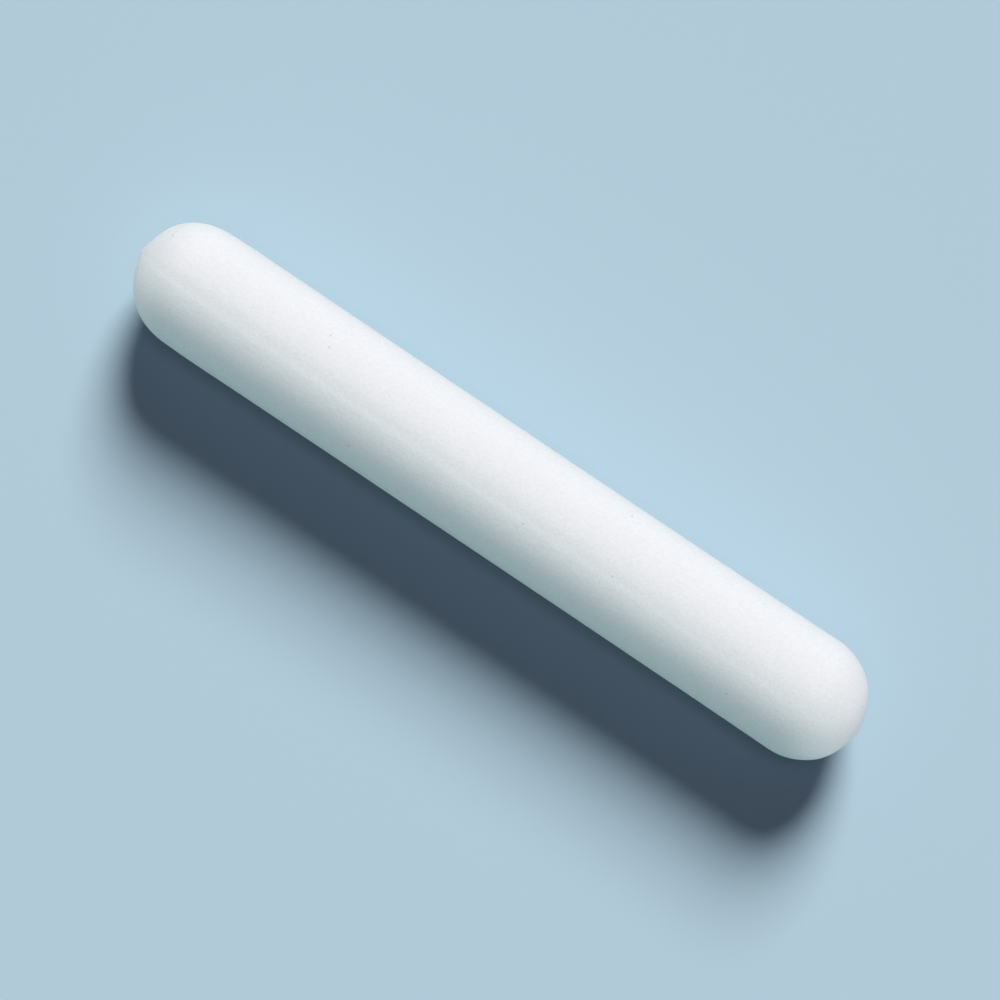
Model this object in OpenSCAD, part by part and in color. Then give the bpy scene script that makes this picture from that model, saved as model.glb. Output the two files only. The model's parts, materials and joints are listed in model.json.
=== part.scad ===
// Magnetic stir bar: an alnico rod sealed in one seamless fluoropolymer jacket.
// The bar lies along X, and the origin is the middle of the line it rests on.

/* [Bar] */
// Length of the bar over both tips
bar_len = 60; // [30:0.5:120]
// Diameter of the barrel
bar_d = 9; // [6:0.1:14]

/* [Domed ends] */
// Slope of the cone drawn out at each tip, measured from the end plane
tip_slope = 17; // [8:1:30]
// Radius that blunts each tip
tip_r = 1.2; // [0.4:0.1:2]

/* [Jacket] */
// Wall of the jacket round the magnet
wall = 1.45; // [0.8:0.05:2]
// Solid barrel left between the magnet and the start of each dome
end_stop = 0.3; // [0.1:0.05:5]

/* [Magnet] */
// Clearance all round the magnet in its space
magnet_gap = 0.05; // [0.02:0.01:0.15]
// Chamfer on both ends of the magnet
magnet_chamfer = 0.5; // [0.2:0.05:0.8]

/* [Hidden] */

$fn = 120;
bar_r = bar_d / 2;
// The tip's arc is centred this far beyond the dome's centre, so that one
// straight flank at tip_slope is tangent to both arcs
tip_shift = (bar_r - tip_r) / cos(tip_slope);
dome_h = tip_shift + tip_r;
barrel_len = bar_len - 2 * dome_h;
// Each straight flank ends this far inside the arcs it joins, so that they cross cleanly
flank_sink = 0.0002;
// The magnet's space follows the barrel, and the magnet follows its space
space_r = bar_r - wall;
space_len = barrel_len - 2 * end_stop;

// Corner of the flank just inside the arc of radius r that is centred y along the bar
function flank_point(r, y) =
    let (d = r - flank_sink)
    [d * sin(tip_slope), y + d * cos(tip_slope)];

// Dome about its own centre: a circle of the barrel's radius, drawn out to a blunt tip
module dome_section() {
    circle(bar_r);
    polygon([[0, 0], flank_point(bar_r, 0), flank_point(tip_r, tip_shift), [0, tip_shift]]);
    translate([0, tip_shift])
        circle(tip_r);
}

// Half of the bar's long section: radius across, length along Y
module bar_section() {
    intersection() {
        union() {
            translate([-bar_r, -barrel_len / 2])
                square([bar_d, barrel_len]);
            for (end = [0, 1])
                mirror([0, end])
                    translate([0, barrel_len / 2])
                        dome_section();
        }
        translate([0, -bar_len])
            square([bar_d, 2 * bar_len]);
    }
}

// Half of the long section of a rod with chamfered ends
module rod_section(r, len) {
    c = magnet_chamfer;
    polygon([
        [0, -len / 2], [r - c, -len / 2], [r, c - len / 2],
        [r, len / 2 - c], [r - c, len / 2], [0, len / 2]
    ]);
}

// Turns a half section about its Y axis and lays the solid along X on the resting plane
module lay_down() {
    translate([0, 0, bar_r])
        rotate([0, 90, 0])
            rotate_extrude()
                children();
}

// Seamless jacket with the magnet's sealed space inside it
module jacket() {
    color("whitesmoke")
        difference() {
            lay_down() bar_section();
            lay_down() rod_section(space_r, space_len);
        }
}

// Alnico rod, magnetised along its length
module magnet() {
    color("dimgray")
        lay_down() rod_section(space_r - magnet_gap, space_len - 2 * magnet_gap);
}

jacket();
magnet();
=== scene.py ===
"""A magnetic stir bar: an alnico rod sealed in a seamless white PTFE jacket, lying on its side."""

import json

import bpy
import numpy as np
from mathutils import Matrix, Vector


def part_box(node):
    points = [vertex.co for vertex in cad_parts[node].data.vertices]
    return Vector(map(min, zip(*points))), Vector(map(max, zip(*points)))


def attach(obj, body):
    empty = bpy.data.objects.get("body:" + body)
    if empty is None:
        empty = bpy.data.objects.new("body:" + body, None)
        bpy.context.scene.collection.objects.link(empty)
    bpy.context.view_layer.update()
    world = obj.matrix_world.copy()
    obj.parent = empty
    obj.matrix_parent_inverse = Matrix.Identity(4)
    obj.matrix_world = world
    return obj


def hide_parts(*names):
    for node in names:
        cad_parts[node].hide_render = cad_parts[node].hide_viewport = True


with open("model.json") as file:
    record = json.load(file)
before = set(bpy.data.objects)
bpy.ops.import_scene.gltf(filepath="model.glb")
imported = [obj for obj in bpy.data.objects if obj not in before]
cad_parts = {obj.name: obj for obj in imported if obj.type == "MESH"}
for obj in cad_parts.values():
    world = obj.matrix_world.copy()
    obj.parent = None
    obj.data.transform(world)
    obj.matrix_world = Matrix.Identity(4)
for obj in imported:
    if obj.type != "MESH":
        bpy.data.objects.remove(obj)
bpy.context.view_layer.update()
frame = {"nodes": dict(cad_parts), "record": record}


# ---------------------------------------------------------------- the magnet
# The magnet is one rod of cast alnico, ground to size on its barrel and its
# chamfered ends. It is sealed inside the jacket and never seen whole.

MM = 0.001


class Wire:
    """One output of a material node. Arithmetic on it adds Math nodes to its own finish."""

    def __init__(self, finish, socket):
        self.finish = finish
        self.socket = socket

    def maths(self, operation, first, second):
        """One Math node on two values or wires."""
        settings = {"operation": operation}
        return self.finish.node("ShaderNodeMath", settings, {0: first, 1: second})

    def __add__(self, other):
        return self.maths("ADD", self, other)

    def __mul__(self, other):
        return self.maths("MULTIPLY", self, other)

    def __lt__(self, other):
        return self.maths("LESS_THAN", self, other)

    __radd__ = __add__
    __rmul__ = __mul__


# Places of the colours among all the sockets of a Mix node, and of the result among its outputs
MIX_LOW, MIX_HIGH, MIX_RESULT = 6, 7, 2


class Finish:
    """The nodes of a material, or of the room, built on the shader that it starts with."""

    def __init__(self, block, shader="Principled BSDF"):
        block.use_nodes = True
        self.block = block
        self.tree = block.node_tree
        self.shader = self.tree.nodes[shader]

    def feed(self, socket, value):
        """Links a wire to a socket, or sets the socket to a plain value."""
        if isinstance(value, Wire):
            self.tree.links.new(value.socket, socket)
        else:
            socket.default_value = value

    def node(self, kind, settings=None, inputs=None, output=0):
        """Adds a node: its settings first, a ramp's stops among them, and then its sockets."""
        made = self.tree.nodes.new(kind)
        for key, value in (settings or {}).items():
            if key == "stops":
                self.move_stops(made.color_ramp, value)
            else:
                setattr(made, key, value)
        for key, value in (inputs or {}).items():
            self.feed(made.inputs[key], value)
        return Wire(self, made.outputs[output])

    def move_stops(self, ramp, positions):
        """Moves the black stop and the white stop that a new ramp has."""
        for stop, position in zip(ramp.elements, positions):
            stop.position = position

    def surface(self, **sockets):
        """Feeds the shader's sockets. Subsurface_Weight stands for Subsurface Weight."""
        for name, value in sockets.items():
            self.feed(self.shader.inputs[name.replace("_", " ")], value)

    def place(self, scale=(1, 1, 1)):
        """The piece's own coordinates in metres, scaled along each axis."""
        own = self.node("ShaderNodeTexCoord", output="Object")
        return self.node("ShaderNodeMapping", inputs={"Vector": own, "Scale": scale})

    def noise(self, where, size, detail=3.0, roughness=0.5):
        """Soft noise from 0 to 1 whose lumps are about size metres across."""
        values = {"Vector": where, "Scale": 1 / size, "Detail": detail, "Roughness": roughness}
        return self.node("ShaderNodeTexNoise", inputs=values)

    def mix(self, amount, low, high):
        """The colour low where amount is 0 and high where it is 1."""
        values = {"Factor": amount, MIX_LOW: low, MIX_HIGH: high}
        return self.node("ShaderNodeMix", {"data_type": "RGBA"}, values, output=MIX_RESULT)

    def ramp(self, value, dark, light):
        """0 where the value is at most dark, 1 where it is at least light, and even between."""
        return self.node("ShaderNodeValToRGB", {"stops": (dark, light)}, {"Fac": value})

    def bump(self, height, depth):
        """A normal from a height of 0 to 1 that stands for depth metres."""
        return self.node("ShaderNodeBump", inputs={"Height": height, "Distance": depth})


GROUND_ALNICO = (0.42, 0.41, 0.40, 1.0)
CAST_SKIN = (0.16, 0.155, 0.15, 1.0)
BLOTCH_SIZE, BLOTCH_DETAIL = 3 * MM, 5.0
BLOTCH_FROM, BLOTCH_FULL = 0.45, 0.62
WHEEL_MARK_SIZE, WHEEL_MARK_DEPTH = 0.06 * MM, 0.004 * MM
WHEEL_MARK_STRETCH = (1, 0.02, 0.02)
ALNICO_METAL = 0.9
ALNICO_ROUGHNESS, ALNICO_ROUGHNESS_CHANGE = 0.3, 0.25


def ground_alnico():
    """Hard grey magnet metal: fine rings from the grinding wheel over a blotchy cast skin."""
    finish = Finish(bpy.data.materials.new("ground alnico"))
    blotches = finish.noise(finish.place(), size=BLOTCH_SIZE, detail=BLOTCH_DETAIL)
    wheel_marks = finish.noise(finish.place(scale=WHEEL_MARK_STRETCH), size=WHEEL_MARK_SIZE)
    skin = finish.ramp(blotches, BLOTCH_FROM, BLOTCH_FULL)
    finish.surface(
        Base_Color=finish.mix(skin, GROUND_ALNICO, CAST_SKIN),
        Metallic=ALNICO_METAL,
        Roughness=ALNICO_ROUGHNESS + ALNICO_ROUGHNESS_CHANGE * blotches,
        Normal=finish.bump(wheel_marks, WHEEL_MARK_DEPTH),
    )
    return finish.block


frame["nodes"]["magnet"].data.materials.clear()
frame["nodes"]["magnet"].data.materials.append(ground_alnico())


# ---------------------------------------------------------------- the jacket
# The jacket is PTFE moulded and sintered round the magnet until no seam is
# left. Each domed end is drawn out to a small blunt point, where the mould
# closed, and the whole skin is chalky and waxy.

barrel_mount = next(m for m in frame["record"]["mounts"] if m["name"] == "barrel")
bar_r = barrel_mount["dims"]["r_mm"] * MM
axis_z = barrel_mount["pos_m"][2]
tip_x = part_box("jacket")[1].x
TIP_SLOPE = np.radians(17)
TIP_R = 1.2 * MM
tip_shift = (bar_r - TIP_R) / np.cos(TIP_SLOPE)
dome_x = tip_x - tip_shift - TIP_R
TIP_POINTS, FLANK_POINTS, DOME_POINTS, BARREL_POINTS = 9, 10, 72, 160
AROUND = 240


def arc(centre, radius, angles):
    """Points x = centre + radius cos a and r = radius sin a, for angles a from the axis."""
    return np.stack([centre + radius * np.cos(angles), radius * np.sin(angles)])


def half_outline():
    """Half of the long section, from the right tip to the left one, as arrays x and r.

    The tip is an arc of TIP_R and the dome an arc of bar_r, and the straight flank between
    them touches both. The barrel is straight, and the left end mirrors the right one.
    """
    tip = arc(dome_x + tip_shift, TIP_R, np.linspace(0, TIP_SLOPE, TIP_POINTS))
    dome = arc(dome_x, bar_r, np.linspace(TIP_SLOPE, np.pi / 2, DOME_POINTS))
    along_flank = np.linspace(0, 1, FLANK_POINTS)[1:-1]
    flank = tip[:, -1:] + np.outer(dome[:, 0] - tip[:, -1], along_flank)
    x_end, r_end = np.concatenate([tip, flank, dome], axis=1)
    x_barrel = np.linspace(dome_x, -dome_x, BARREL_POINTS)[1:-1]
    r_barrel = np.full(len(x_barrel), bar_r)
    x = np.concatenate([x_end, x_barrel, -x_end[::-1]])
    r = np.concatenate([r_end, r_barrel, r_end[::-1]])
    return x, r


def turned(x, r, around):
    """Points and faces of the half outline x, r turned about the bar's axis.

    Each of its points runs through angles t round the axis, as (x, r sin t, r cos t). The
    outline's first and last points lie on the axis and become single points, so the skin is
    closed.
    """
    t = np.linspace(0, 2 * np.pi, around, endpoint=False)
    x_ring, r_ring = x[1:-1, None], r[1:-1, None]
    rings = np.stack(np.broadcast_arrays(x_ring, r_ring * np.sin(t), r_ring * np.cos(t)), -1)
    points = np.concatenate([rings.reshape(-1, 3), [[x[0], 0, 0], [x[-1], 0, 0]]])
    row = np.arange(len(x) - 3)[:, None] * around
    below = row + around
    here = np.arange(around)
    after = np.roll(here, -1)
    quads = np.stack([row + here, row + after, below + after, below + here], -1).reshape(-1, 4)
    first, last = len(points) - 2, len(points) - 1
    base = (len(x) - 3) * around
    start = np.stack([np.full(around, first), after, here], -1)
    end = np.stack([np.full(around, last), base + here, base + after], -1)
    return points, [*quads.tolist(), *start.tolist(), *end.tolist()]


def bump_at(where, centre, width):
    """A smooth hump of height 1 at centre: e to the power -((where - centre) / width) squared."""
    return np.exp(-(((where - centre) / width) ** 2))


WAVE = 0.004 * MM
# For each crossed wave: its share of WAVE, its waves along the bar and where they start, and
# its waves round the bar and where they start
CROSSED_WAVES = [(1.0, 2.3, 0.4, 2, 0.7), (0.6, 5.1, 2.0, 1, -0.5)]
SNAKING_WAVE = (0.4, 9.7, 1.1, 3)


def waves(along, t):
    """Height in metres of the slow waves that sintering leaves in the skin.

    A crossed wave is a sine along the bar times a cosine round it. The snaking wave is a sine
    along the bar that a sine round it shifts back and forth.
    """
    turn = along * np.pi
    height = 0
    for share, lengths, start, rounds, round_start in CROSSED_WAVES:
        height = height + share * np.sin(lengths * turn + start) * np.cos(rounds * t + round_start)
    share, lengths, start, rounds = SNAKING_WAVE
    return WAVE * (height + share * np.sin(lengths * turn + start + np.sin(rounds * t)))


FLUTE_DEPTH, FLUTE_DEPTH_CHANGE = 0.021 * MM, -0.009 * MM
FLUTE_AT, FLUTE_DRIFT = np.radians([-7.3, -2.3])
FLUTE_LIT_WIDTH, FLUTE_SHADE_WIDTH = np.radians([11, 7])


def flute(along, t):
    """Height of the shallow flute down one side of the bar.

    It is minus the flute's depth times the square of a cosine across it. The flute drifts
    round the bar from end to end, and its depth changes with it.
    """
    across = t - (FLUTE_AT + FLUTE_DRIFT * along)
    width = np.where(across > 0, FLUTE_LIT_WIDTH, FLUTE_SHADE_WIDTH)
    profile = np.cos(np.clip(across / width, -1, 1) * np.pi / 2) ** 2
    return -(FLUTE_DEPTH + FLUTE_DEPTH_CHANGE * along) * profile


WAIST = 0.057 * MM
RING, RING_AT, RING_WIDTH = 0.02 * MM, np.radians(42), np.radians(8)
CROWN, CROWN_AT, CROWN_WIDTH = 0.085 * MM, np.radians(34), np.radians(27)
NECK, NECK_AT, NECK_WIDTH = 0.085 * MM, np.radians(82), np.radians(22)


def moulding(points):
    """Height in metres, outward from the axis, of what moulding does to the true form.

    The barrel draws in by WAIST (1 - u^4), where u runs from -1 to 1 along it. Each dome has a
    faint ring, the right one is fuller at its crown, and the left one slighter at its neck:
    humps over the angle that a point makes with the axis, seen from the middle of its dome.
    Ring and crown fade out at the bar's points, and flute and waves towards the axis.
    """
    x, y, z = points.T
    r = np.hypot(y, z)
    t = np.arctan2(y, z)
    along = x / dome_x
    from_axis = np.arctan2(r, np.abs(x) - dome_x)
    waist = -WAIST * (1 - np.clip(along, -1, 1) ** 4)
    ring = RING * bump_at(from_axis, RING_AT, RING_WIDTH)
    crown = CROWN * bump_at(from_axis, CROWN_AT, CROWN_WIDTH) * (x > 0)
    neck = -NECK * bump_at(from_axis, NECK_AT, NECK_WIDTH) * (x < 0)
    round_it = flute(along, t) + waves(along, t)
    return waist + (ring + crown) * np.minimum(r / TIP_R, 1) + neck + round_it * r / bar_r


LEAN_LEFT = 0.036
LEAN_RIGHT = 0.010
TIP_LEFT = 0.04 * MM
TIP_RIGHT = -0.12 * MM


def leaning(points):
    """Domes a degree or two out of square with the barrel, and points a little off its axis.

    x' = x - lean y, the lean changing evenly from end to end. y' = y + shift u^6, where u is 0
    where the dome starts and 1 at its point.
    """
    x, y, z = points.T
    lean = LEAN_LEFT + (LEAN_RIGHT - LEAN_LEFT) * (x / tip_x + 1) / 2
    u = np.maximum(np.abs(x) - dome_x, 0) / (tip_x - dome_x)
    shift = np.where(x < 0, TIP_LEFT, TIP_RIGHT)
    return np.stack([x - lean * y, y + shift * u**6, z], -1)


SPACE_GAP = 0.05 * MM
SPACE_CHAMFER = 0.5 * MM
SPACE_AROUND = 60


def magnet_space():
    """Half of the long section of the magnet's space: the magnet's own, larger by the gap."""
    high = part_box("magnet")[1]
    half, r = high.x + SPACE_GAP, high.y + SPACE_GAP
    x = np.array([half, half, half - SPACE_CHAMFER])
    across = np.array([0, r - SPACE_CHAMFER, r])
    return np.concatenate([x, -x[::-1]]), np.concatenate([across, across[::-1]])


# Stands in for a distance of 0 from the axis, so that nothing is divided by 0
LEAST_DISTANCE = 0.001 * MM


def moulded_jacket():
    """The skin, and the magnet's space inside it with its faces turned inwards, as one mesh.

    Each point of the skin moves by the height that moulding gives, straight out from the axis.
    """
    skin, skin_faces = turned(*half_outline(), AROUND)
    distance = np.maximum(np.linalg.norm(skin[:, 1:], axis=1), LEAST_DISTANCE)
    outward = skin * [0, 1, 1] / distance[:, None]
    skin = leaning(skin + outward * moulding(skin)[:, None])
    space, space_faces = turned(*magnet_space(), SPACE_AROUND)
    points = np.concatenate([skin, space]) + [0, 0, axis_z]
    faces = skin_faces + [[i + len(skin) for i in reversed(face)] for face in space_faces]
    mesh = bpy.data.meshes.new("moulded jacket")
    mesh.from_pydata(points.tolist(), [], faces)
    mesh.polygons.foreach_set("use_smooth", np.arange(len(faces)) < len(skin_faces))
    mesh.validate()
    jacket = bpy.data.objects.new("moulded_jacket", mesh)
    bpy.context.scene.collection.objects.link(jacket)
    return jacket


PTFE_WHITE = (0.96, 0.94, 0.94, 1.0)
PTFE_CLOUD = (0.93, 0.915, 0.92, 1.0)
POWDER_SHADE = (0.86, 0.85, 0.835, 1.0)
SPECK_BROWN = (0.45, 0.38, 0.28, 1.0)
CLOUD_SIZE = 2.5 * MM
GRAIN_SIZE, GRAIN_DEPTH = 0.2 * MM, 0.012 * MM
GRAIN_FINENESS, GRAIN_SHADE = 0.7, 0.9
GRAIN_FROM, GRAIN_FULL = 0.3, 0.7
# The powder is split into cells this wide. A speck's radius is given in cells, and the
# chance is the share of the cells that hold one.
SPECK_SPACING = 1.2 * MM
SPECK_SIZE = 0.067
SPECK_CHANCE = 0.36
SPECK_STRENGTH = 0.4
SATIN_SIZE, SATIN_DETAIL = 0.6 * MM, 2.0
PTFE_ROUGHNESS, PTFE_ROUGHNESS_CHANGE = 0.6, 0.1
PTFE_IOR, PTFE_SHEEN = 1.35, 0.1
WAXY, WAXY_DEPTH = 0.4, 0.5 * MM


def sintered_ptfe():
    """White, chalky PTFE: faint clouds, the grain of the powder and a few brown specks in it."""
    finish = Finish(bpy.data.materials.new("sintered ptfe"))
    own = finish.place()
    clouds = finish.noise(own, size=CLOUD_SIZE)
    powder = finish.noise(own, size=GRAIN_SIZE, roughness=GRAIN_FINENESS)
    grain = finish.ramp(powder, GRAIN_FROM, GRAIN_FULL)
    satin = finish.noise(own, size=SATIN_SIZE, detail=SATIN_DETAIL)
    cells = {"Vector": own, "Scale": 1 / SPECK_SPACING}
    from_centre = finish.node("ShaderNodeTexVoronoi", inputs=cells, output="Distance")
    cell_colour = finish.node("ShaderNodeTexVoronoi", inputs=cells, output="Color")
    luck = finish.node("ShaderNodeSeparateColor", inputs={"Color": cell_colour})
    speck = (from_centre < SPECK_SIZE) * (luck < SPECK_CHANCE)
    cloudy = finish.mix(clouds, PTFE_WHITE, PTFE_CLOUD)
    grainy = finish.mix(GRAIN_SHADE * grain, cloudy, POWDER_SHADE)
    finish.surface(
        Base_Color=finish.mix(SPECK_STRENGTH * speck, grainy, SPECK_BROWN),
        Roughness=PTFE_ROUGHNESS + PTFE_ROUGHNESS_CHANGE * satin,
        IOR=PTFE_IOR,
        Specular_IOR_Level=PTFE_SHEEN,
        Subsurface_Weight=WAXY,
        Subsurface_Radius=(1.0, 1.0, 1.0),
        Subsurface_Scale=WAXY_DEPTH,
        Normal=finish.bump(grain, GRAIN_DEPTH),
    )
    return finish.block


jacket = moulded_jacket()
jacket.data.materials.append(sintered_ptfe())
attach(jacket, "root")
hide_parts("jacket")


# ---------------------------------------------------------------- the sheet and the lights
# The bar lies on a plain pale blue sheet. A wide, even sun lights only the
# sheet and throws the bar's shadow on it. Soft lights round the bar light
# only the bar, and one straight above lights both.

SHEET_HALF = 2.0
SHEET_SEEN = (0.33, 0.44, 0.50, 1.0)
SHEET_BOUNCE = (0.12, 0.24, 0.31, 1.0)


def looked_at(finish):
    """1 for what is seen, directly or by reflection, and 0 for the light that is thrown back."""
    direct, gloss, clear = (
        finish.node("ShaderNodeLightPath", output=ray)
        for ray in ("Is Camera Ray", "Is Glossy Ray", "Is Transmission Ray")
    )
    return direct + gloss + clear


def pale_sheet():
    """A flat square sheet. It looks pale, and throws the cool light of a bluer one on the bar."""
    x = np.array([-1, 1, 1, -1]) * SHEET_HALF
    y = np.array([-1, -1, 1, 1]) * SHEET_HALF
    mesh = bpy.data.meshes.new("sheet")
    mesh.from_pydata(np.stack([x, y, np.zeros(4)], -1).tolist(), [], [(0, 1, 2, 3)])
    sheet = bpy.data.objects.new("sheet", mesh)
    bpy.context.scene.collection.objects.link(sheet)
    finish = Finish(bpy.data.materials.new("pale sheet"))
    finish.surface(
        Base_Color=finish.mix(looked_at(finish), SHEET_BOUNCE, SHEET_SEEN),
        Roughness=1.0,
        Specular_IOR_Level=0.0,
    )
    mesh.materials.append(finish.block)
    return sheet


LIGHT_DISTANCE = 0.9


def hang(data, azimuth, elevation, on):
    """Hangs a light that faces the bar, at degrees round from +X and degrees up.

    Where on is a piece, the light falls on that piece alone.
    """
    light = bpy.data.objects.new(data.name, data)
    around, up = np.radians([azimuth, elevation])
    direction = Vector((np.cos(around) * np.cos(up), np.sin(around) * np.cos(up), np.sin(up)))
    light.location = direction * LIGHT_DISTANCE
    light.rotation_euler = direction.to_track_quat("Z", "Y").to_euler()
    if on is not None:
        lit_pieces = bpy.data.collections.new("lit by " + data.name)
        lit_pieces.objects.link(on)
        light.light_linking.receiver_collection = lit_pieces
    bpy.context.scene.collection.objects.link(light)


def soft_light(name, azimuth, elevation, size, lit, colour=(1, 1, 1), on=None):
    """A square soft light. On a white surface turned to it, it adds a brightness of about lit."""
    data = bpy.data.lights.new(name, "AREA")
    data.shape = "SQUARE"
    data.size = size
    data.color = colour
    data.energy = lit * np.pi**2 * LIGHT_DISTANCE**2
    hang(data, azimuth, elevation, on)


def soft_sun(name, azimuth, elevation, spread, lit, on=None):
    """A light that is equally strong everywhere, and looks spread degrees wide."""
    data = bpy.data.lights.new(name, "SUN")
    data.angle = np.radians(spread)
    data.energy = lit * np.pi
    hang(data, azimuth, elevation, on)


sheet = pale_sheet()
COOL = (0.70, 1.0, 0.94)
SKY = (1.0, 1.0, 1.35)
soft_sun("key on the sheet", azimuth=105.3, elevation=35.8, spread=25, lit=2.07, on=sheet)
soft_light("key", azimuth=107.6, elevation=39.5, size=0.30, lit=0.44, on=jacket)
soft_light("left", azimuth=160, elevation=15, size=0.60, lit=0.485, on=jacket)
soft_light("right", azimuth=30, elevation=32, size=0.40, lit=0.47, on=jacket)
soft_light("overhead", azimuth=0, elevation=89, size=0.40, lit=0.115, colour=SKY)
soft_light("fill", azimuth=275, elevation=28, size=0.60, lit=0.30, colour=COOL, on=jacket)

ROOM_SEEN = (0.60, 0.70, 0.76, 1.0)
ROOM_LIGHT = (0.015, 0.02, 0.02, 1.0)


def pale_room():
    """A room that looks pale behind the sheet and adds a little light from all round."""
    room = Finish(bpy.data.worlds.new("room"), "Background")
    room.surface(Color=room.mix(looked_at(room), ROOM_LIGHT, ROOM_SEEN), Strength=1.0)
    return room.block


bpy.context.scene.world = pale_room()


# ---------------------------------------------------------------- the camera
# A long lens looks straight down on the bar, turned so that the bar runs
# from the upper left to the lower right.

VIEW_WIDTH = 69.5 * MM
VIEW_CENTRE = (0.33 * MM, -0.51 * MM)
VIEW_TURN = np.radians(33.83)
LENS = 150.0
NEAREST, FARTHEST = 0.01, 10.0

camera_data = bpy.data.cameras.new("camera")
camera_data.lens = LENS
camera_data.clip_start = NEAREST
camera_data.clip_end = FARTHEST
view_distance = VIEW_WIDTH * LENS / camera_data.sensor_width
camera = bpy.data.objects.new("camera", camera_data)
camera.location = (*VIEW_CENTRE, axis_z + view_distance)
camera.rotation_euler = (0, 0, VIEW_TURN)
bpy.context.scene.collection.objects.link(camera)
bpy.context.scene.camera = camera
bpy.context.scene.view_settings.view_transform = "Standard"
